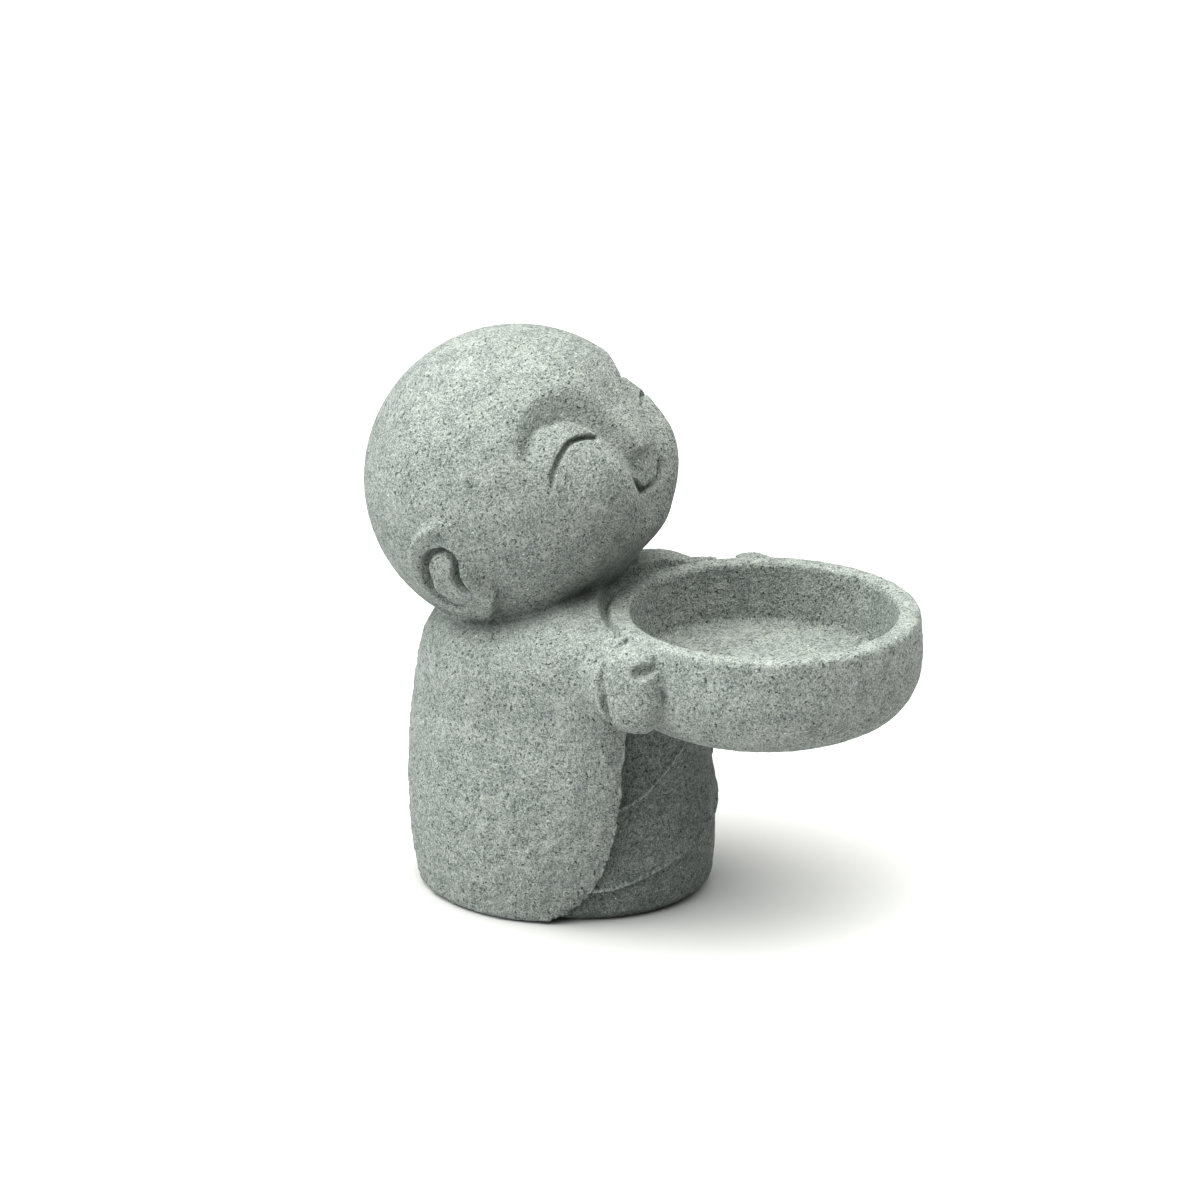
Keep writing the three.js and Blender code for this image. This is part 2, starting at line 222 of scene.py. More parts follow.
# %% The gap in the cloak
GAP_SIDE = [(24.9, -1), (22.4, 3), (21.1, 10), (21.2, 22), (21.5, 31), (20.4, 45)]
GAP_STEPS = 30
GAP_REACH = 60


def push_through(name, outline, depth):
    """A flat outline of (x, z) points, filled and extruded towards -Y."""
    bpy.ops.object.select_all(action="DESELECT")
    bpy.ops.mesh.primitive_circle_add(vertices=len(outline), radius=PART, fill_type="NGON")
    form = bpy.context.object
    reshape(form, lambda p: np.array([(x, 0, z) for x, z in outline]))
    bpy.ops.object.mode_set(mode="EDIT")
    bpy.ops.mesh.select_all(action="SELECT")
    bpy.ops.mesh.extrude_region_move(TRANSFORM_OT_translate={"value": (0, -depth * PART, 0)})
    bpy.ops.object.mode_set(mode="OBJECT")
    return finish_form(form, name)


def cut_away(form, tool):
    """Takes the tool's volume out of the form and throws the tool away."""
    select_only(form)
    cut = form.modifiers.new("cut", "BOOLEAN")
    cut.operation = "DIFFERENCE"
    cut.solver = "EXACT"
    cut.object = tool
    bpy.ops.object.modifier_apply(modifier=cut.name)
    bpy.data.objects.remove(tool)
    print(f"{form.name} after the cut: {len(form.data.vertices)} points")


gap_line = through(GAP_SIDE, GAP_STEPS)
gap_outline = [*gap_line, *[(-x, z) for x, z in gap_line[::-1]]]
cut_away(cloak, push_through("gap", gap_outline, GAP_REACH))

# %% [markdown]
# The under-robe shows in the gap. It is wrapped in layers, and the hem of each climbs from the figure's
# right and stands a little over the cloth below it. A hem could be cut into a plain barrel, but a cut would
# cross the grid of faces. So the rings are laid along the hems: two rings meet at each, one on each cloth.

# %% The under-robe
FOLDS = [(6.7, 11, 1), (21.3, 0, 12.9)]
FOLD_REACH = 52
TURN_FROM = -52
TURN_TO = 10
ROBE_TOP = 48
BELLY = 2.3
BELLY_SWELL = 0.055
HEM_FLARE = 1.1
FLARE_ENDS = 16
SWELL_LOST = 0.85
SWELL_FADES = (12, 26)
ROWS_PER_FOLD = 12
LEAST_RISE = 0.1


def fold_height(fold, sideways):
    low, lean, turn = fold
    evenly = np.clip((FOLD_REACH - sideways) / (2 * FOLD_REACH), 0, 1)
    return low + lean * evenly + turn * smooth(-sideways, TURN_FROM, TURN_TO)


def robe_radius(height):
    """The under-robe is a cloak's thickness inside the line of the body."""
    return np.interp(height, body_line[:, 1], body_line[:, 0]) - CLOAK_THICKNESS


def robe_place(radius, turn, height):
    ahead = (radius + HEM_FLARE * (1 - smooth(height, 0, FLARE_ENDS))) * np.cos(turn)
    swell = BELLY_SWELL * (1 - SWELL_LOST * smooth(height, *SWELL_FADES))
    return np.stack([radius * np.sin(turn), -ahead - swell * np.maximum(ahead, 0) - BELLY, height], 1)


robe_levels = [(k, row / ROWS_PER_FOLD) for k in range(len(FOLDS) + 1) for row in range(ROWS_PER_FOLD + 1)]


def lay_folds(p):
    x, y, z = p.T
    turn = np.arctan2(x, -y)
    sideways = np.degrees(-turn)
    ring = np.clip(np.round(z).astype(int) - 1, 0, len(robe_levels) - 1)
    fold = np.array([k for k, _ in robe_levels])[ring]
    share = np.array([s for _, s in robe_levels])[ring]
    heights = np.stack(
        [np.full(len(p), FOOT_ROUND), *[fold_height(f, sideways) for f in FOLDS], np.full(len(p), ROBE_TOP)]
    )
    each = np.arange(len(p))
    low, high = heights[fold, each], heights[fold + 1, each]
    height = low + (np.maximum(high, low + LEAST_RISE) - low) * share
    standing = np.where(fold > 0, FOLD_STEP * (1 - share) ** 2, 0)
    radius = robe_radius(height) + standing
    bottom = np.round(z) < 1
    radius = np.where(bottom, radius - FOOT_ROUND, radius)
    height = np.where(bottom, 0, height)
    return robe_place(radius, turn, height)


robe_rings = [(1, level) for level in range(len(robe_levels) + 1)]
robe = raise_rings("under_robe", robe_rings, BODY_COLUMNS)
reshape(robe, lay_folds)

# %% [markdown]
# ## The dish
# The dish is turned, as on a wheel. One profile makes the whole bowl: out along its underside, up the
# swelling wall, over the rim, down inside and in to the middle of the floor. A bowl cut out of a solid
# would need the same profile twice.

# %% The dish
DISH_COLUMNS = 256
WALL_STATIONS = [(0.72, 0), (0.87, 0.12), (0.965, 0.32), (1, 0.58)]
RIM_SHARE = 0.985
WALL_STEPS = 24
FLAT_STEPS = 8
CENTRE_HOLE = 0.4
UNDERSIDE_FROM = 3
UNDERSIDE_SHARE = 0.7
INSIDE_SHARE = 0.8
BORE_SHARES = (0.1, 0.95)


def rounded(corner_radius, corner, start, end):
    """Points of a quarter round about a corner's own centre, from one angle to another."""
    return [
        (corner[0] + corner_radius * math.cos(turn), corner[1] + corner_radius * math.sin(turn))
        for turn in np.radians(np.linspace(start, end, ROUND_STEPS))
    ]


dish_height = rim_top - dish_under
wall_line = through(
    [
        *[(dish_radius * out, dish_under + dish_height * up) for out, up in WALL_STATIONS],
        (dish_radius * RIM_SHARE, rim_top - RIM_ROUND),
    ],
    WALL_STEPS,
)
dish_profile = [
    (CENTRE_HOLE, dish_under),
    *[(r, dish_under) for r in np.linspace(UNDERSIDE_FROM, dish_radius * UNDERSIDE_SHARE, FLAT_STEPS)],
    *wall_line,
    *rounded(RIM_ROUND, (dish_radius * RIM_SHARE - RIM_ROUND, rim_top - RIM_ROUND), 10, 90),
    *rounded(RIM_ROUND, (bore_radius + RIM_ROUND, rim_top - RIM_ROUND), 95, 180),
    *[
        (bore_radius - BORE_DRAFT * s, rim_top - RIM_ROUND - (DISH_DEPTH - 2 * RIM_ROUND) * s)
        for s in np.linspace(*BORE_SHARES, FLAT_STEPS)
    ],
    *rounded(RIM_ROUND, (bore_radius - BORE_DRAFT - RIM_ROUND, bore_floor + RIM_ROUND), 0, -90),
    *[(r, bore_floor) for r in np.linspace(bore_radius * INSIDE_SHARE, CENTRE_HOLE, FLAT_STEPS)],
]
dish = raise_rings("dish", dish_profile, DISH_COLUMNS, (0, dish_middle))

# %% [markdown]
# ## Arms and hands
# A sleeve hangs from the arm like a drop and ends in a cuff. The hand that comes out of it is a mitten
# laid against the dish, with the thumb over it. Fingers could be modelled one by one, but in stone of this
# grain they would not show, so balls and prisms do. Each is made once for the figure's right and copied to
# its left.

# %% Sleeves
HAND_BEARING = math.radians(63)
HAND_OUT = 1.2
HAND_BELOW_RIM = 8.1
hand_at = Vector(
    (
        -(dish_radius + HAND_OUT) * math.sin(HAND_BEARING),
        dish_middle + (dish_radius + HAND_OUT) * math.cos(HAND_BEARING),
        rim_top - HAND_BELOW_RIM,
    )
)
ARM_LIFT = math.radians(8)
ARM_START = Vector((-16.5, 3, 0))
ARM_BELOW_RIM = 4
SLEEVE_END = (6.2, 5.4)
SLEEVE_INSIDE = 8
SLEEVE_STEPS = 40
SLEEVE_OUTLINE = [(2, 0.6), (-3, 0), (-6.6, -3), (-7.6, -7.5), (-6, -12.5), (-1.5, -17), (3, -19)]


def turn_about_x(p, angle):
    x, y, z = p.T
    cos, sin = math.cos(angle), math.sin(angle)
    return np.stack([x, y * cos - z * sin, y * sin + z * cos], 1)


def turn_about_z(p, angle):
    x, y, z = p.T
    cos, sin = math.cos(angle), math.sin(angle)
    return np.stack([x * cos - y * sin, x * sin + y * cos, z], 1)


def make_sleeve():
    run = Vector((hand_at.x + SLEEVE_END[0], hand_at.y + SLEEVE_END[1], 0)) - ARM_START
    inner_edge = [(SLEEVE_INSIDE, SLEEVE_OUTLINE[-1][1]), (SLEEVE_INSIDE, SLEEVE_OUTLINE[0][1])]
    sleeve = push_through("sleeve", [*through(SLEEVE_OUTLINE, SLEEVE_STEPS), *inner_edge], run.length)
    place = np.array((ARM_START.x, ARM_START.y, rim_top - ARM_BELOW_RIM))
    turned = turn_about_z(turn_about_x(points_of(sleeve), -ARM_LIFT), math.atan2(run.x, -run.y))
    set_points(sleeve, turned + place)
    return sleeve


sleeve = make_sleeve()

# %% Hands
BALL_SEGMENTS = 96
HAND_HALVES = (4.7, 5.9, 7.8)
HAND_FULLNESS = 0.8
# Each ball by the hand: how far inwards, back and below the rim it is, its half-axes, and its tilt.
SMALL_BALLS = {
    "thumb": ((1.2, -1.2, 2.5), (2.7, 4.4, 2.6), -12),
    "cuff": ((0.4, 4.2, 8.6), (4.8, 4.4, 5.4), 0),
    "wrist": ((4, 3.8, 4.8), (4.2, 4.6, 3.8), 0),
}


def ball(name, middle, halves, tilt=0, segments=BALL_SEGMENTS, fullness=1):
    """A ball with its half-axes in parts, tilted about X and set in place; fullness below 1 squares it."""
    bpy.ops.object.select_all(action="DESELECT")
    bpy.ops.mesh.primitive_uv_sphere_add(segments=segments, ring_count=segments * 2 // 3, radius=PART)
    form = finish_form(bpy.context.object, name)
    return reshape(
        form,
        lambda p: turn_about_x(np.sign(p) * np.abs(p) ** fullness * np.array(halves), math.radians(tilt))
        + np.array(middle),
    )


def other_side(form):
    """A copy of a form with its own mesh, mirrored to the figure's left."""
    twin = form.copy()
    twin.data = form.data.copy()
    bpy.context.collection.objects.link(twin)
    reshape(twin, lambda p: p * np.array((-1, 1, 1)))
    return finish_form(twin, form.name + "_left")


hand = ball("hand", hand_at, HAND_HALVES, fullness=HAND_FULLNESS)
thumb, cuff, wrist = (
    ball(name, (hand_at.x + inwards, hand_at.y + back, rim_top - below), halves, tilt)
    for name, ((inwards, back, below), halves, tilt) in SMALL_BALLS.items()
)
right_arm = [sleeve, cuff, wrist, hand, thumb]
left_arm = [other_side(form) for form in right_arm]
masses = [cloak, robe, *right_arm, *left_arm]

# %% [markdown]
# ## The head
# The head is a ball that looks up. Its carving is a height over the ball, laid out in degrees on the face:
# bearing 0 is straight ahead and grows towards an ear, and rise 0 is eye level. The soft forms are carved
# while it is still a ball: cheeks, nose, the hollow under each brow and the ears. Sculpting by hand would
# give the same forms, but a height in degrees is even on both sides and can be changed in one place.

# %% Places on the head
HEAD_RADIUS = 27
HEAD_MIDDLE = np.array((0, 7.9, 100 - HEAD_RADIUS))
HEAD_PITCH = math.radians(33)
HEAD_SEGMENTS = 384
DEGREE = math.radians(1) * HEAD_RADIUS
TENTH = 0.1 * MM / PART
LINE_STEPS = 80
LINE_REACH = 0.4
head_width = 2 * HEAD_RADIUS * PART / MM
print(f"the head is {head_width:.1f} mm across and looks up {math.degrees(HEAD_PITCH):.0f} degrees")


def on_ball(stations, count):
    """Directions from the middle of the head along a smooth line of (bearing, rise) stations."""
    bearing, rise = np.radians(through(stations, count)).T
    return np.stack([-np.sin(bearing) * np.cos(rise), -np.cos(bearing) * np.cos(rise), np.sin(rise)], 1)


def head_directions(p):
    """Unit directions of points in the head's own frame, with both sides folded on one, and distances."""
    out = turn_about_x(p - HEAD_MIDDLE, HEAD_PITCH)
    distance = np.linalg.norm(out, axis=1)
    out = out / distance[:, None]
    out[:, 0] = -np.abs(out[:, 0])
    return out, distance


def bearing_and_rise(directions):
    """Degrees towards the ear and degrees above eye level."""
    bearing = np.degrees(np.arctan2(-directions[:, 0], -directions[:, 1]))
    return bearing, np.degrees(np.arcsin(directions[:, 2]))


def nearest_on(line, p, reach):
    """Distance from each point to a line, the share along it, and on which side; far points get reach."""
    away = np.full(len(p), float(reach))
    share = np.zeros(len(p))
    side = np.ones(len(p))
    close = np.flatnonzero(((p > line.min(0) - reach) & (p < line.max(0) + reach)).all(1))
    q = p[close]
    for k, (a, b) in enumerate(zip(line[:-1], line[1:])):
        run = b - a
        t = np.clip((q - a) @ run / (run @ run), 0, 1)
        foot_point = a + t[:, None] * run
        gap = np.linalg.norm(q - foot_point, axis=1)
        nearer = gap < away[close]
        index = close[nearer]
        away[index] = gap[nearer]
        share[index] = (k + t[nearer]) / (len(line) - 1)
        side[index] = np.sign(np.cross(run, q[nearer] - foot_point[nearer]) * foot_point[nearer]).sum(1)
    return away, share, side


# %% Cheeks, nose, brows
LID_EDGE = [
    (54.5, 0.5), (54, 3.3), (51.7, 7.9), (47.2, 12.5), (42.8, 14.3), (35.6, 14.8),
    (28.5, 12.5), (23.2, 7.3), (19.1, 1.7), (16.1, -3.9), (13.4, -9.8), (10, -14.8),
]
HOLLOW_DEPTH = [3, 8, 14, 19, 23, 26, 28, 29, 28, 26, 22, 14]
HOLLOW_WIDTH = [14, 17, 22, 27, 36, 46, 54, 58, 52, 42, 36, 25]
LID_STEP = [2, 5, 8, 11, 13, 14, 14, 12, 9, 6, 4, 2]
LID_SPREAD = [20, 20, 25, 30, 35, 45, 50, 50, 45, 40, 35, 30]
LID_WALL = 8 * TENTH
CHEEK = ((30, -18), (20, 19), 15 * TENTH)
MOUTH_CORNER = ((12, -21), (6, 6), 6 * TENTH)
FACE_SUNK = 17 * TENTH
FACE_BREADTH = 17
FACE_FROM = (-50, -30)
FACE_TO = (6, 30)
NOSE_STANDS = 12 * TENTH
NOSE_BRIDGE = 20
NOSE_WIDENS = 13
NOSE_WIDER = (6, -9)
NOSE_FROM = (14, -10)
NOSE_TO = (-12, -15)
THROAT_SUNK = 20 * TENTH
THROAT_FROM = (42, 64)
THROAT_TO = (60, 85)


def swelling(bearing, rise, middle, spread, height):
    across, up = (bearing - middle[0]) / spread[0], (rise - middle[1]) / spread[1]
    return height * np.exp(-(across**2) - up**2)


def along_line(values, share):
    return np.interp(share, np.linspace(0, 1, len(values)), values) * TENTH


def brow_hollow(directions):
    """Depth under the brow: a soft slope inwards from the brow, then a low step up to the rolling lid."""
    away, share, side = nearest_on(on_ball(LID_EDGE, LINE_STEPS), directions, LINE_REACH)
    across = away * HEAD_RADIUS
    deep, step = along_line(HOLLOW_DEPTH, share), along_line(LID_STEP, share)
    width = along_line(HOLLOW_WIDTH, share)
    slope = deep * (1 - (smooth(across, 0, width) + np.clip(across / width, 0, 1)) / 2)
    spread = along_line(LID_SPREAD, share)
    lid = (deep - step * smooth(across, 0, LID_WALL)) * np.exp(-((across / spread) ** 2))
    return np.where(side > 0, slope, lid)


def face_height(directions):
    bearing, rise = bearing_and_rise(directions)
    in_the_middle = np.exp(-((bearing / FACE_BREADTH) ** 2))
    middle_of_face = in_the_middle * smooth(rise, *FACE_FROM) * (1 - smooth(rise, *FACE_TO))
    nose_width = (NOSE_BRIDGE + NOSE_WIDENS * smooth(rise, *NOSE_WIDER)) * TENTH
    nose_across = np.exp(-((bearing * DEGREE / nose_width) ** 2))
    nose_along = smooth(rise, *NOSE_FROM) * (1 - smooth(rise, *NOSE_TO))
    throat = smooth(-rise, *THROAT_FROM) * (1 - smooth(bearing, *THROAT_TO))
    return (
        swelling(bearing, rise, *CHEEK)
        - FACE_SUNK * middle_of_face
        - swelling(bearing, rise, *MOUTH_CORNER)
        + NOSE_STANDS * nose_across * nose_along
        - THROAT_SUNK * throat
        - brow_hollow(directions)
    )


# %% [markdown]
# An ear is a pad that stands off the head inside an outline of its own. Its rim is rounded over, its middle
# is lower, and in front of the lobe it runs out into the cheek. It could be a form of its own, joined to the
# head, but as part of the same height it has no seam to hide.

# %% Ears
EAR_OUTLINE = [
    (90, -16), (88, -8), (88.5, -1.5), (93, 4), (100.5, 4.7), (106.5, 2.8),
    (111.5, 0), (115.5, -5), (118.5, -12), (120, -21), (119.5, -30), (116, -37.5),
    (109, -41.5), (100.5, -40), (94.5, -35.5), (90.5, -31), (91, -24), (90, -16),
]
EAR_HEIGHT = 28 * TENTH
EAR_SLOPE = 13 * TENTH
EAR_STEPS = 140
EAR_FRONT = ((93, -19), (4, 6), 6 * TENTH)
EAR_BEGINS = (88, 97)
LOBE_BEGINS = (27, 32)
EAR_BACK = (110, 120)
BACK_LOSES = 0.35
LOBE = (26, 40)
LOBE_LOSES = 0.55
MIDDLE_LOSES = 0.45


def inside(outline, directions):
    """Whether each direction is within a closed line of directions, seen from the middle of the head."""
    facing = outline.mean(0)
    facing /= np.linalg.norm(facing)
    level = np.cross((0, 0, 1), facing)
    level /= np.linalg.norm(level)
    frame_of = np.stack([level, np.cross(facing, level)], 1)
    u, v = (directions @ frame_of).T
    within = np.zeros(len(directions), bool)
    for (u0, v0), (u1, v1) in zip(outline[:-1] @ frame_of, outline[1:] @ frame_of):
        crossing = (v0 > v) != (v1 > v)
        within ^= crossing & (u < (u1 - u0) * (v - v0) / (v1 - v0 + 1e-12) + u0)
    return within & (directions @ facing > 0)


def ear_height(directions):
    """The ear stands off the head inside its outline, and fades into the cheek in front of the lobe."""
    outline = on_ball(EAR_OUTLINE, EAR_STEPS)
    away, _, _ = nearest_on(outline, directions, LINE_REACH)
    depth_in = away * HEAD_RADIUS * np.where(inside(outline, directions), 1, 0)
    bearing, rise = bearing_and_rise(directions)
    front = np.maximum(smooth(bearing, *EAR_BEGINS), smooth(-rise, *LOBE_BEGINS))
    top = (1 - BACK_LOSES * smooth(bearing, *EAR_BACK)) * (1 - LOBE_LOSES * smooth(-rise, *LOBE))
    roll = smooth(depth_in, 0, EAR_SLOPE) * (1 - MIDDLE_LOSES * smooth(depth_in, EAR_SLOPE, 3 * EAR_SLOPE))
    return EAR_HEIGHT * roll * front * top + swelling(bearing, rise, *EAR_FRONT)


# %% The head's ball, carved
def carve_head(p):
    directions, distance = head_directions(p)
    longer = (distance + face_height(directions) + ear_height(directions)) / distance
    return HEAD_MIDDLE + (p - HEAD_MIDDLE) * longer[:, None]


head = ball("head", HEAD_MIDDLE, (HEAD_RADIUS,) * 3, segments=HEAD_SEGMENTS)
reshape(head, carve_head)

# %% [markdown]
# ## One skin
# The masses are joined and a voxel remesh draws one closed skin over them, as a mould would. Booleans
# could join them too, but would leave a hard edge at each meeting. The chest first gives room to the rim of
# the dish, so that a groove stays between them.

# %% Room for the rim and the bore
ROOM_COLUMNS = 128
ROOM_TOP = 70
ROOM_NEAR = 1.1
ROOM_FAR = 2.5
wall_middle = bore_radius + RIM_WIDTH / 2
room_profile = [
    (wall_middle, bore_floor - DISH_FLOOR / 2),
    (wall_middle, rim_top - RIM_GROOVE * 2),
    (dish_radius - RIM_GROOVE / 2, rim_top - RIM_GROOVE * 2),
    (dish_radius + RIM_GROOVE / 2, rim_top - RIM_GROOVE),
    (dish_radius + RIM_GROOVE * ROOM_NEAR, rim_top + RIM_GROOVE),
    (dish_radius + RIM_GROOVE * ROOM_FAR, ROOM_TOP),
]
bore_room = [(wall_middle, bore_floor - DISH_FLOOR / 2), (wall_middle, ROOM_TOP)]
for form in masses:
    in_the_way = room_profile if form in (cloak, robe, sleeve, left_arm[0]) else bore_room
    cut_away(form, raise_rings("room", in_the_way, ROOM_COLUMNS, (0, dish_middle)))

# %% One skin
SKIN = 0.3 * MM
bpy.ops.object.select_all(action="DESELECT")
for form in [*masses, dish, head]:
    form.select_set(True)
bpy.context.view_layer.objects.active = cloak
bpy.ops.object.join()
statue = bpy.context.object
statue.name = statue.data.name = "stone_jizo"
skin = statue.modifiers.new("skin", "REMESH")
skin.mode = "VOXEL"
skin.voxel_size = SKIN
bpy.ops.object.modifier_apply(modifier=skin.name)
print(f"skin: {len(statue.data.vertices)} points, {len(statue.data.polygons)} faces")

# %% Softening the skin
SOFTENING = 0.5
ROUNDS_ALL_OVER = 3
soften = statue.modifiers.new("soften", "SMOOTH")
soften.factor = SOFTENING
soften.iterations = ROUNDS_ALL_OVER
bpy.ops.object.modifier_apply(modifier=soften.name)
bpy.ops.object.shade_smooth()
print(f"softened {ROUNDS_ALL_OVER} times all over")

# %% [markdown]
# Round the hands the sculptor's thumb has run the parts into each other. Fillets between balls and a bowl
# would each need an edge to follow, so the skin there is smoothed many more times instead, and the weight
# of each point falls off towards the sleeve and stops at the wall of the dish.

# %% Where hand, cuff and dish flow together
HAND_REACH = 8.5
HAND_FADE = 2
HAND_TALLER = 1.3
DISH_FADE = (-1.5, 0)
ROUNDS_AT_THE_HAND = 60


def weight_points(form, name, weights):
    """A vertex group with its weights rounded to tenths, so that each tenth is given in one go."""
    group = form.vertex_groups.new(name=name)
    tenths = np.round(weights * 10).astype(int)
    for tenth in range(1, 11):
        group.add(np.flatnonzero(tenths == tenth).tolist(), tenth / 10, "REPLACE")
    return group.name


near_side = points_of(statue)
near_side[:, 0] = -np.abs(near_side[:, 0])
from_hand = np.linalg.norm((near_side - np.array(hand_at)) / (1, 1, HAND_TALLER), axis=1)
beyond_dish = np.hypot(near_side[:, 0], near_side[:, 1] - dish_middle) - dish_radius
joint = (1 - smooth(from_hand, HAND_REACH - HAND_FADE, HAND_REACH)) * smooth(beyond_dish, *DISH_FADE)
flow = statue.modifiers.new("flow", "SMOOTH")
flow.factor = SOFTENING
flow.iterations = ROUNDS_AT_THE_HAND
flow.vertex_group = weight_points(statue, "joint", joint)
bpy.ops.object.modifier_apply(modifier=flow.name)
print(f"{np.count_nonzero(joint)} points flow together round the hands")

# %% [markdown]
# ## The crisp grooves
# Eyes, mouth and ears are finished on the skin, where their edges stay crisp. Each groove is a line on the
# face, and every point of the skin near it sinks by how close it is. A tool swept along each line would
# cut the same groove, but this way its width and depth can change from station to station.

# %% Grooves of the face and ears
EYE_LINE = [(22.6, 0.8), (28.1, 3.2), (34.4, 4.2), (39.6, 2.7), (44.6, -0.2), (49, -4.6), (51.5, -8.5)]
MOUTH_LINE = [(13.2, -21.6), (12, -24), (10, -26.6), (7, -28.1), (3.5, -28.5), (0, -28.5)]
EAR_LINE = [
    (98.7, -25.6), (100.2, -23.1), (100.6, -20.7), (99.9, -18.3), (98, -16.1), (95.8, -13.8),
    (95, -10.6), (96.3, -7.7), (99.4, -6.1), (103.5, -6.1), (107.4, -7.9), (109.9, -10.8),
    (112.2, -14.5), (113.8, -18.2), (113.5, -21.7), (112.5, -25.1), (110.9, -27.6), (108, -29.2),
]
GROOVES = [
    (EYE_LINE, [6, 6.5, 6.5, 6.5, 6, 5, 3], [10, 14, 14, 14, 12, 8, 1]),
    (MOUTH_LINE, [5, 10, 12, 9, 6, 5], [10, 22, 26, 20, 13, 10]),
    (
        EAR_LINE,
        [4, 9, 12, 12, 10, 8, 7, 7, 7, 8, 8, 8, 8, 7, 6, 5, 4, 2],
        [6, 20, 26, 27, 24, 21, 19, 19, 19, 20, 20, 20, 19, 17, 15, 12, 9, 2],
    ),
]
GROOVE_FLAT = 0.3
GROOVE_STEPS = 90
GROOVE_REACH = 0.12
NEAR_THE_BALL = (3.2, 4.2)


def cut_grooves(p):
    directions, distance = head_directions(p)
    on_the_head = 1 - smooth(np.abs(distance - HEAD_RADIUS), *NEAR_THE_BALL)
    depth = np.zeros(len(p))
    for stations, half_widths, depths in GROOVES:
        away, share, _ = nearest_on(on_ball(stations, GROOVE_STEPS), directions, GROOVE_REACH)
        nearness = away * HEAD_RADIUS / along_line(half_widths, share)
        depth = np.maximum(depth, along_line(depths, share) * (1 - smooth(nearness, GROOVE_FLAT, 1)))
    shorter = 1 - depth * on_the_head / distance
    print(f"the deepest groove of the face is {(depth * on_the_head).max() * PART / MM:.1f} mm")
    return HEAD_MIDDLE + (p - HEAD_MIDDLE) * shorter[:, None]


reshape(statue, cut_grooves)

# %% [markdown]
# A cut line goes round each cuff and under each thumb, and a short one parts two fingers. They are given as
# points in space for the right hand, and the left takes them mirrored. The smoothing has moved the skin a
# little off those points, so distances are measured along the skin.

# %% Grooves of the hands
CUFF_LINE = [
    (-21.9, -22.7, 54.6), (-25, -22.3, 54.4), (-26.4, -21.8, 53.2),
    (-27.6, -21.2, 51.5), (-28.8, -21.3, 49.7), (-29.9, -22, 47.8),
    (-29.8, -22.2, 45.5), (-29.1, -22.7, 43), (-27.5, -22.6, 41),
]
THUMB_LINE = [
    (-29.3, -26.4, 52.4), (-28.7, -27.5, 52), (-28.5, -28.8, 52.1),
    (-27.8, -29.6, 52.4), (-27, -30.1, 53), (-26.5, -30, 54.2),
]
FINGER_LINE = [(-27, -31.9, 49), (-26.6, -32.1, 47.4), (-26.9, -32.6, 46.3)]
HAND_GROOVES = [
    (CUFF_LINE, [7, 8, 9, 9, 9, 9, 8, 7, 6], [12, 15, 16, 15, 14, 13, 11, 8, 2]),
    (THUMB_LINE, [6, 11, 13, 12, 8, 4], [2, 11, 15, 14, 9, 2]),
    (FINGER_LINE, [6, 8, 6], [3, 7, 3]),
]
HAND_GROOVE_STEPS = 60
HAND_GROOVE_REACH = 3


def normals_of(form):
    flat = np.empty(len(form.data.vertices) * 3)
    form.data.vertices.foreach_get("normal", flat)
    return flat.reshape(-1, 3)


def along_surface(line, p, normals):
    """Distance to a line as the surface runs, so that a line a little above or below it marks it too."""
    away, share, _ = nearest_on(line, p, HAND_GROOVE_REACH)
    places = np.linspace(0, 1, len(line))
    gap = p - np.stack([np.interp(share, places, axis) for axis in line.T], 1)
    level = gap - normals * (gap * normals).sum(1)[:, None]
    return np.where(away < HAND_GROOVE_REACH, np.linalg.norm(level, axis=1), HAND_GROOVE_REACH), share


def cut_hand_grooves(p):
    fold_over = np.where(p[:, :1] > 0, (-1, 1, 1), (1, 1, 1))
    normals = normals_of(statue)
    depth = np.zeros(len(p))
    for stations, half_widths, depths in HAND_GROOVES:
        line = through(stations, HAND_GROOVE_STEPS)
        away, share = along_surface(line, p * fold_over, normals * fold_over)
        nearness = away / along_line(half_widths, share)
        depth = np.maximum(depth, along_line(depths, share) * (1 - smooth(nearness, GROOVE_FLAT, 1)))
    print(f"the deepest groove of the hands is {depth.max() * PART / MM:.1f} mm")
    return p - normals * depth[:, None]


reshape(statue, cut_hand_grooves)

# %% [markdown]
# The hem of each cloth is a rolled bead, as thread makes it when it is sewn over. A bent tube would do, but
# it would have to be joined to the skin again. So the skin itself is raised along the hem, by its normals.

# %% The beaded edges of the folds
FOLD_ENDS = (60, -64)
EDGE_STEPS = 60
EDGE_REACH = 1.5
BEAD_LOWERS = 0.6
BEAD_CORE = 0.1


def fold_edge(fold, standing=FOLD_STEP):
    sideways = np.linspace(*FOLD_ENDS, EDGE_STEPS)
    height = fold_height(fold, sideways)
    return robe_place(robe_radius(height) + standing, -np.radians(sideways), height)


def raise_beads(p):
    rise = np.zeros(len(p))
    for fold in FOLDS:
        away, share, _ = nearest_on(fold_edge(fold), p, EDGE_REACH)
        across = 1 - smooth(away / BEAD_WIDTH, BEAD_CORE, 1)
        rise = np.maximum(rise, FOLD_BEAD * (1 - BEAD_LOWERS * share) * across)
    print(f"{np.count_nonzero(rise)} points are raised to beads")
    return p + normals_of(statue) * rise[:, None]


reshape(statue, raise_beads)

# %% [markdown]
# ## The brushed surface
# Brushing leaves low lumps, and pits where a grain has come out. The head was rubbed smoother than the
# cloak. A bump alone would leave the outline of the stone too clean, so two displacements give the relief,
# weighted by a vertex group, and only what is finer than the mesh is left to the stone's bump.

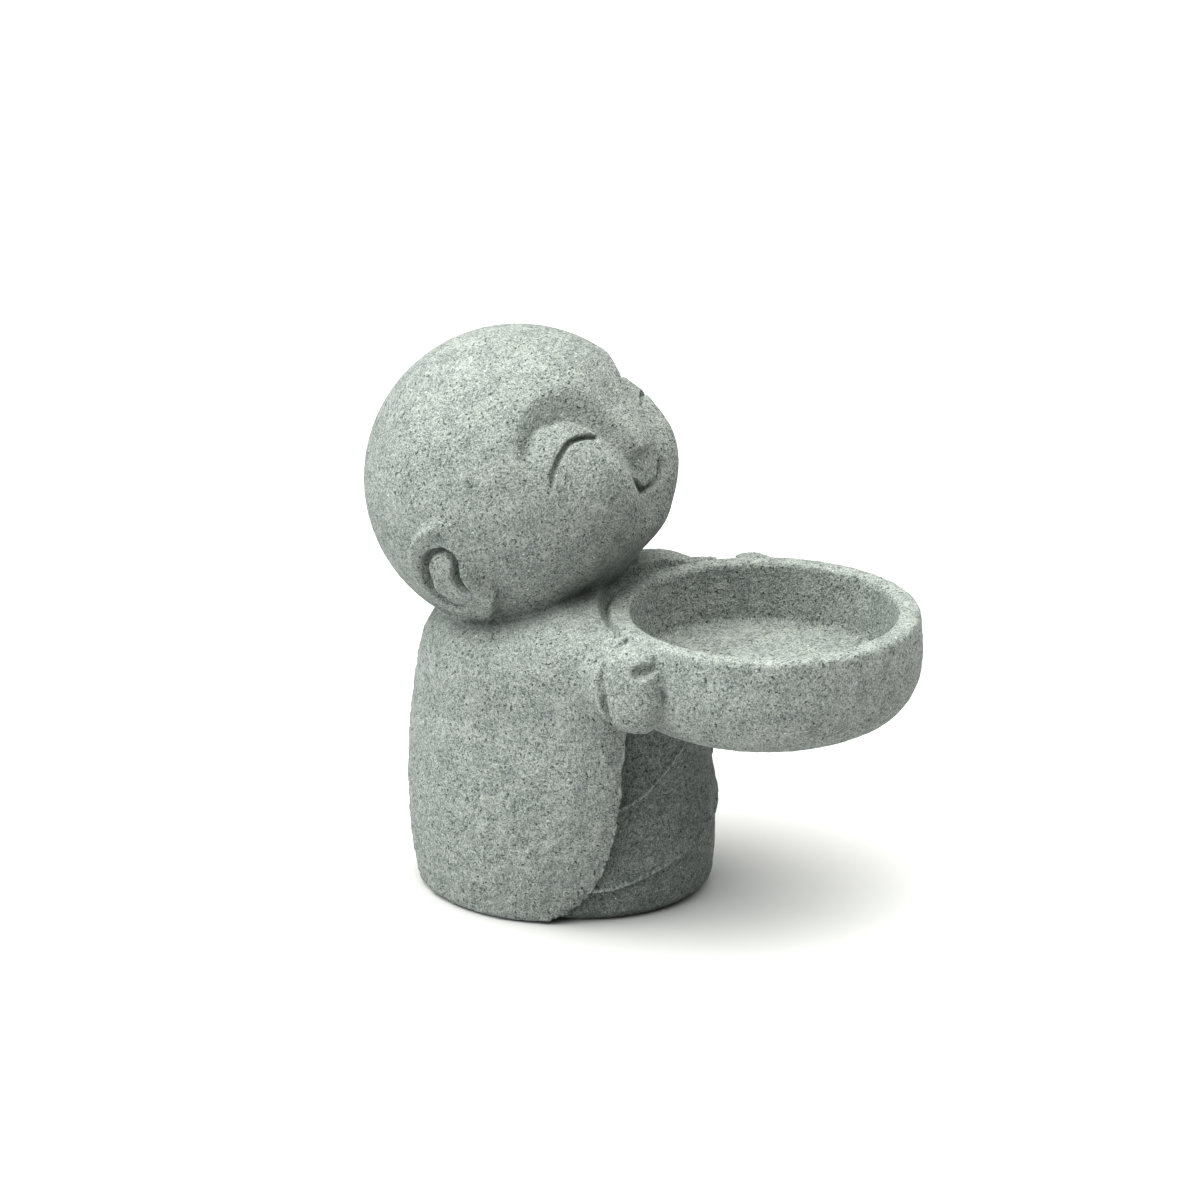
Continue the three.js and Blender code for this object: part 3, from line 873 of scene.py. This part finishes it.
# %% Lumps and pits
ROUGH_ON_HEAD = 0.25
ROUGH_ON_DISH = 0.35
OFF_THE_HEAD = (1, 4)
OFF_THE_DISH = (0, 1)
OFF_THE_GROUND = (0, 1)
LUMP_SIZE = 2.6 * MM
LUMP_HEIGHT = 0.36 * MM
PIT_SIZE = 1.1 * MM
PIT_TURBULENCE = 4
PIT_DEPTH = 0.3 * MM
MIDDLE_GREY = 0.5


def displace(form, kind, settings, strength, group):
    pattern = bpy.data.textures.new(kind.lower(), kind)
    for key, value in settings.items():
        setattr(pattern, key, value)
    relief = form.modifiers.new(kind.lower(), "DISPLACE")
    relief.texture = pattern
    relief.texture_coords = "LOCAL"
    relief.strength = strength
    relief.mid_level = MIDDLE_GREY
    relief.vertex_group = group
    select_only(form)
    bpy.ops.object.modifier_apply(modifier=relief.name)


skin_points = points_of(statue)
from_head = np.linalg.norm(skin_points - HEAD_MIDDLE, axis=1) - HEAD_RADIUS
roughness = ROUGH_ON_HEAD + (1 - ROUGH_ON_HEAD) * smooth(from_head, *OFF_THE_HEAD)
beyond_dish = np.hypot(skin_points[:, 0], skin_points[:, 1] - dish_middle) - dish_radius
roughness = np.minimum(roughness, ROUGH_ON_DISH + (1 - ROUGH_ON_DISH) * smooth(beyond_dish, *OFF_THE_DISH))
above_ground = smooth(skin_points[:, 2], *OFF_THE_GROUND)
rough = weight_points(statue, "rough", roughness * above_ground)
displace(statue, "CLOUDS", {"noise_scale": LUMP_SIZE, "noise_depth": 1}, LUMP_HEIGHT, rough)
displace(statue, "STUCCI", {"noise_scale": PIT_SIZE, "turbulence": PIT_TURBULENCE}, PIT_DEPTH, rough)
print("moved by", round(np.abs(points_of(statue) - skin_points).max() * PART / MM, 2), "mm at most")

# %% [markdown]
# The skin has small faces all over, also where a back or a floor is plain. Whoever uses the part would
# carry them all, so faces are merged where the stone is flattest, and the grooves keep theirs.

# %% Fewer faces where the stone is plain
MOST_TRIANGLES = 194000
triangles = sum(len(face.vertices) - 2 for face in statue.data.polygons)
thin_out = statue.modifiers.new("thin_out", "DECIMATE")
thin_out.ratio = MOST_TRIANGLES / triangles
bpy.ops.object.modifier_apply(modifier=thin_out.name)
bpy.ops.object.shade_smooth()
print(f"thinned from {triangles} to {len(statue.data.polygons)} triangles")

# %% [markdown]
# Painted highlight pales the proud edges of the cloth, and painted shade darkens the under-robe below the
# dish. How much of each a point takes stays in an attribute of the mesh, which the stone reads.

# %% Painted highlight on the edges, painted shade under the dish
EDGE_WIDTH = 0.5
EDGE_CORE = 0.1
HEM_PALE = (0.42, 0.7)
HEM_LOSES = 0.8
ON_CLOAK = (1.2, 1.8)
UNDER_DISH = 1
EDGE_AHEAD = (8, 12)
ROBE_AHEAD = (6, 10)
ROBE_PAINTED_SHADE = 0.5
MIDDLE_DARK = 0.5
ROBE_SIDES = (6, 18)


# Painted light: up to 1 is a painted highlight on the cloak's front edge and the fold hems, below 0 is
# painted shade on the under-robe below the dish.
def paint_light_and_shade(p):
    x, y, z = p.T
    forward = np.where(y + BELLY < 0, (y + BELLY) / (1 + BELLY_SWELL), y + BELLY)
    beyond_robe = np.hypot(x, forward) - robe_radius(z)
    below_dish = 1 - smooth(z, dish_under - UNDER_DISH, dish_under + UNDER_DISH)
    on_cloak = smooth(beyond_robe, *ON_CLOAK)
    off_edge = np.abs(np.abs(x) - np.interp(z, gap_line[:, 1], gap_line[:, 0]))
    # painted highlight along the cloak's front edge, below the dish
    edge = on_cloak * (1 - smooth(off_edge, EDGE_CORE, EDGE_WIDTH)) * smooth(-y, *EDGE_AHEAD) * below_dish
    # painted highlight along the hem of each fold, fading along it
    for fold in FOLDS:
        away, share, _ = nearest_on(fold_edge(fold, FOLD_STEP + FOLD_BEAD), p, EDGE_REACH)
        hem = (1 - smooth(away, EDGE_CORE, EDGE_WIDTH)) * (1 - HEM_LOSES * smooth(share, *HEM_PALE))
        edge = np.maximum(edge, hem)
    # painted shade on the under-robe below the dish, stronger towards its sides
    towards_sides = MIDDLE_DARK + (1 - MIDDLE_DARK) * smooth(np.abs(x), *ROBE_SIDES)
    painted_robe_shade = (1 - on_cloak) * smooth(-y, *ROBE_AHEAD) * below_dish * towards_sides
    return edge - ROBE_PAINTED_SHADE * painted_robe_shade * (1 - edge)


# Painted highlight and painted shade for each point, kept as an attribute of the mesh.
painted_light_and_shade = paint_light_and_shade(points_of(statue))
statue.data.attributes.new("painted_light_and_shade", "FLOAT", "POINT").data.foreach_set("value", painted_light_and_shade)
print(f"wear runs from {painted_light_and_shade.min():.2f} to {painted_light_and_shade.max():.2f}")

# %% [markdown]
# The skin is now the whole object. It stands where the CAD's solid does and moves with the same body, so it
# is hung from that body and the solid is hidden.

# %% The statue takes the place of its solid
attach(statue, "root")
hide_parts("statue")

# %% [markdown]
# ## Shader maths
# A socket is wrapped so that it adds and multiplies like a number, and any other node comes from one
# method. A Mix node has a set of sockets for each type of data, so those for colour are taken by place.

# %% A wrapped socket, and the material it belongs to
MIX_SHARE, MIX_FIRST, MIX_SECOND, MIX_RESULT = 0, 6, 7, 2
NOISE_ROUGHNESS = 0.6


class Amount:
    """A socket that carries a value; sums on it become Math nodes."""

    def __init__(self, mix, socket):
        self.mix = mix
        self.socket = socket

    def maths(self, operation, *values):
        return self.mix.node("ShaderNodeMath", {"operation": operation}, dict(enumerate(values)))

    def __add__(self, other):
        return self.maths("ADD", self, other)

    def __radd__(self, other):
        return self.maths("ADD", other, self)

    def __sub__(self, other):
        return self.maths("SUBTRACT", self, other)

    def __rsub__(self, other):
        return self.maths("SUBTRACT", other, self)

    def __mul__(self, other):
        return self.maths("MULTIPLY", self, other)

    def __rmul__(self, other):
        return self.maths("MULTIPLY", other, self)

    def over(self, low, high):
        """How far the value is from low to high, eased at both ends."""
        settings = {"interpolation_type": "SMOOTHSTEP"}
        inputs = {"Value": self, "From Min": low, "From Max": high}
        return self.mix.node("ShaderNodeMapRange", settings, inputs)


class MaterialMix:
    """A material under work; node() adds any node, with its settings first and then its inputs."""

    def __init__(self, name):
        self.material = bpy.data.materials.new(name)
        self.material.use_nodes = True
        self.tree = self.material.node_tree
        self.shader = self.tree.nodes["Principled BSDF"]

    def node(self, kind, settings, inputs, output=0):
        made = self.tree.nodes.new(kind)
        for key, value in settings.items():
            setattr(made, key, value)
        for key, value in inputs.items():
            self.give(made.inputs[key], value)
        return Amount(self, made.outputs[output])

    def give(self, socket, value):
        if isinstance(value, Amount):
            self.tree.links.new(value.socket, socket)
        else:
            socket.default_value = value

    def grain(self, place, size, detail=2):
        inputs = {"Vector": place, "Scale": 1 / size, "Detail": detail, "Roughness": NOISE_ROUGHNESS}
        return self.node("ShaderNodeTexNoise", {}, inputs, "Fac")

    def blend(self, share, first, second):
        ends = [(*colour, 1) if isinstance(colour, tuple) else colour for colour in (first, second)]
        inputs = {MIX_SHARE: share, MIX_FIRST: ends[0], MIX_SECOND: ends[1]}
        return self.node("ShaderNodeMix", {"data_type": "RGBA"}, inputs, MIX_RESULT)


# %% [markdown]
# ## The stone
# The casting is crushed grey-green stone. From close by it is light and dark grains of a quarter of a
# millimetre to three quarters, a few bright flecks and small dark pits; from afar it is one pale grey.
# Noise and cells of the true grain sizes give both at once, where a picture would blur in the close view.

# %% Stone
LIGHT_GRAIN = (0.45, 0.472, 0.446)
DARK_GRAIN = (0.13, 0.151, 0.149)
FLECK = (0.75, 0.78, 0.76)
PIT = (0.06, 0.075, 0.07)
FINE_SIZE = 0.26 * MM
COARSE_SIZE = 0.7 * MM
CLOUD_SIZE = 3.5 * MM
HOLE_SIZE = 0.55 * MM
FLECK_SPACING = 3.2 * MM
HOLE_RANGE = (0.27, 0.36)
FLECK_RANGE = (0.03, 0.08)
LIGHT_RANGE = (0.3, 0.68)
# The last share is how strongly the painted highlight and painted shade of the mesh attribute count.
FINE_SHARE, COARSE_SHARE, CLOUD_SHARE, PAINTED_LIGHT_SHARE = 0.56, 0.26, 0.18, 0.13
PIT_COVER = 0.75
FLECK_COVER = 0.6
STONE_ROUGHNESS = 0.92
STONE_SPECULAR = 0.3

stone = MaterialMix("cast_stone")
place = stone.node("ShaderNodeTexCoord", {}, {}, "Object")
fine = stone.grain(place, FINE_SIZE)
coarse = stone.grain(place, COARSE_SIZE)
clouds = stone.grain(place, CLOUD_SIZE, 3)
hole = 1 - stone.grain(place, HOLE_SIZE, 1).over(*HOLE_RANGE)
cells = {"Vector": place, "Scale": 1 / FLECK_SPACING}
fleck = 1 - stone.node("ShaderNodeTexVoronoi", {"feature": "F1"}, cells, "Distance").over(*FLECK_RANGE)

# The mesh attribute brings in the painted highlight on the edges and the painted shade on the under-robe
# below the dish.
painted_light_read = stone.node("ShaderNodeAttribute", {"attribute_name": "painted_light_and_shade"}, {}, "Fac")
lightness = fine * FINE_SHARE + coarse * COARSE_SHARE + clouds * CLOUD_SHARE + painted_light_read * PAINTED_LIGHT_SHARE
grains = stone.blend(lightness.over(*LIGHT_RANGE), DARK_GRAIN, LIGHT_GRAIN)
pitted = stone.blend(hole * PIT_COVER, grains, PIT)
flecked = stone.blend(fleck * FLECK_COVER, pitted, FLECK)
stone.give(stone.shader.inputs["Base Color"], flecked)
stone.give(stone.shader.inputs["Roughness"], STONE_ROUGHNESS)
stone.give(stone.shader.inputs["Specular IOR Level"], STONE_SPECULAR)

# %% [markdown]
# What is finer than the mesh is only felt as shade: each coarse grain stands up and each pit goes in. The
# same sockets that colour the grains drive the bump, so that relief and colour keep to the same grains.

# %% Bump
FINE_RELIEF, COARSE_RELIEF, HOLE_RELIEF = 0.2, 0.42, 0.16
BUMP_DISTANCE = 1 * MM
relief = fine * FINE_RELIEF + coarse * COARSE_RELIEF - hole * HOLE_RELIEF
bump = {"Height": relief, "Distance": BUMP_DISTANCE, "Strength": 1.0}
stone.give(stone.shader.inputs["Normal"], stone.node("ShaderNodeBump", {}, bump))
statue.data.materials.clear()
statue.data.materials.append(stone.material)
print(f"{stone.material.name} has {len(stone.tree.nodes)} nodes")

# %% [markdown]
# ## Floor, light and camera
# The figure is seen on plain white paper. The light of a product table comes from soft boxes round it and
# overhead. Lamps would do, but to a small figure a box is only a bright part of the sky, so the sky is
# given lobes of light, placed round from the camera. The camera stands at the photograph's angle.

# %% Floor
FLOOR_SIZE = 6
FLOOR_GREY = 0.62
FLOOR_ROUGHNESS = 0.6
bpy.ops.object.select_all(action="DESELECT")
bpy.ops.mesh.primitive_plane_add(size=FLOOR_SIZE)
floor = bpy.context.object
floor.name = "floor"
paper = MaterialMix("floor_white")
paper.give(paper.shader.inputs["Base Color"], (FLOOR_GREY, FLOOR_GREY, FLOOR_GREY, 1))
paper.give(paper.shader.inputs["Roughness"], FLOOR_ROUGHNESS)
floor.data.materials.append(paper.material)

# %% Light
CAMERA_AZIMUTH = -65.5
# Each soft box: degrees round from the camera and up, its outer edge and its core, and its strength.
SOFT_BOXES = [
    (0, 90, 60, 20, 2.1),
    (120, 55, 50, 10, 2.1),
    (240, 55, 50, 10, 0.5),
    (300, 55, 50, 10, 2.7),
    (300, 15, 50, 10, 1.5),
]
LOW_LIGHT = (0.94, 0.98, 1)
HIGH_LIGHT = (1, 1, 0.97)
LOW_TO_HIGH = (0.2, 0.75)
GAMMA = 0.73


class Sky(MaterialMix):
    """The studio's own tree of nodes, with the same way of adding them."""

    def __init__(self, name):
        self.world = bpy.data.worlds.new(name)
        self.world.use_nodes = True
        self.tree = self.world.node_tree
        self.background = self.tree.nodes["Background"]


def direction(azimuth, elevation):
    """The way from the middle to a place round and above it, both in degrees."""
    azimuth, elevation = math.radians(azimuth), math.radians(elevation)
    level = math.cos(elevation)
    return (math.sin(azimuth) * level, -math.cos(azimuth) * level, math.sin(elevation))


studio = Sky("studio")
view = studio.node("ShaderNodeTexCoord", {}, {}, "Generated")
brightness = 0
for aside, height, edge, core, strength in SOFT_BOXES:
    both = {0: view, 1: direction(CAMERA_AZIMUTH + aside, height)}
    facing = studio.node("ShaderNodeVectorMath", {"operation": "DOT_PRODUCT"}, both, "Value")
    falls_off = [math.cos(math.radians(angle)) for angle in (edge, core)]
    brightness = brightness + strength * facing.over(*falls_off)
studio.give(studio.background.inputs["Strength"], brightness)
upwards = studio.node("ShaderNodeSeparateXYZ", {}, {"Vector": view}, "Z").over(*LOW_TO_HIGH)
studio.give(studio.background.inputs["Color"], studio.blend(upwards, LOW_LIGHT, HIGH_LIGHT))
bpy.context.scene.world = studio.world
bpy.context.scene.view_settings.view_transform = "Standard"
bpy.context.scene.view_settings.gamma = GAMMA
print(f"{len(SOFT_BOXES)} soft boxes in a sky of {len(studio.tree.nodes)} nodes")

# %% Camera
CAMERA_ELEVATION = 20.2
CAMERA_DISTANCE = 0.9
CAMERA_TARGET = Vector((0, -0.0075, 0.0499))
SENSOR_WIDTH = 36
FOCAL_LENGTH = 162
NEAREST = 0.01
back = Vector(direction(CAMERA_AZIMUTH, CAMERA_ELEVATION))
lens = bpy.data.cameras.new("camera")
lens.sensor_width = SENSOR_WIDTH
lens.lens = FOCAL_LENGTH
lens.clip_start = NEAREST
camera = bpy.data.objects.new("camera", lens)
bpy.context.collection.objects.link(camera)
camera.location = CAMERA_TARGET + back * CAMERA_DISTANCE
camera.rotation_euler = (-back).to_track_quat("-Z", "Y").to_euler()
bpy.context.scene.camera = camera
print("camera at", [round(v, 3) for v in camera.location])
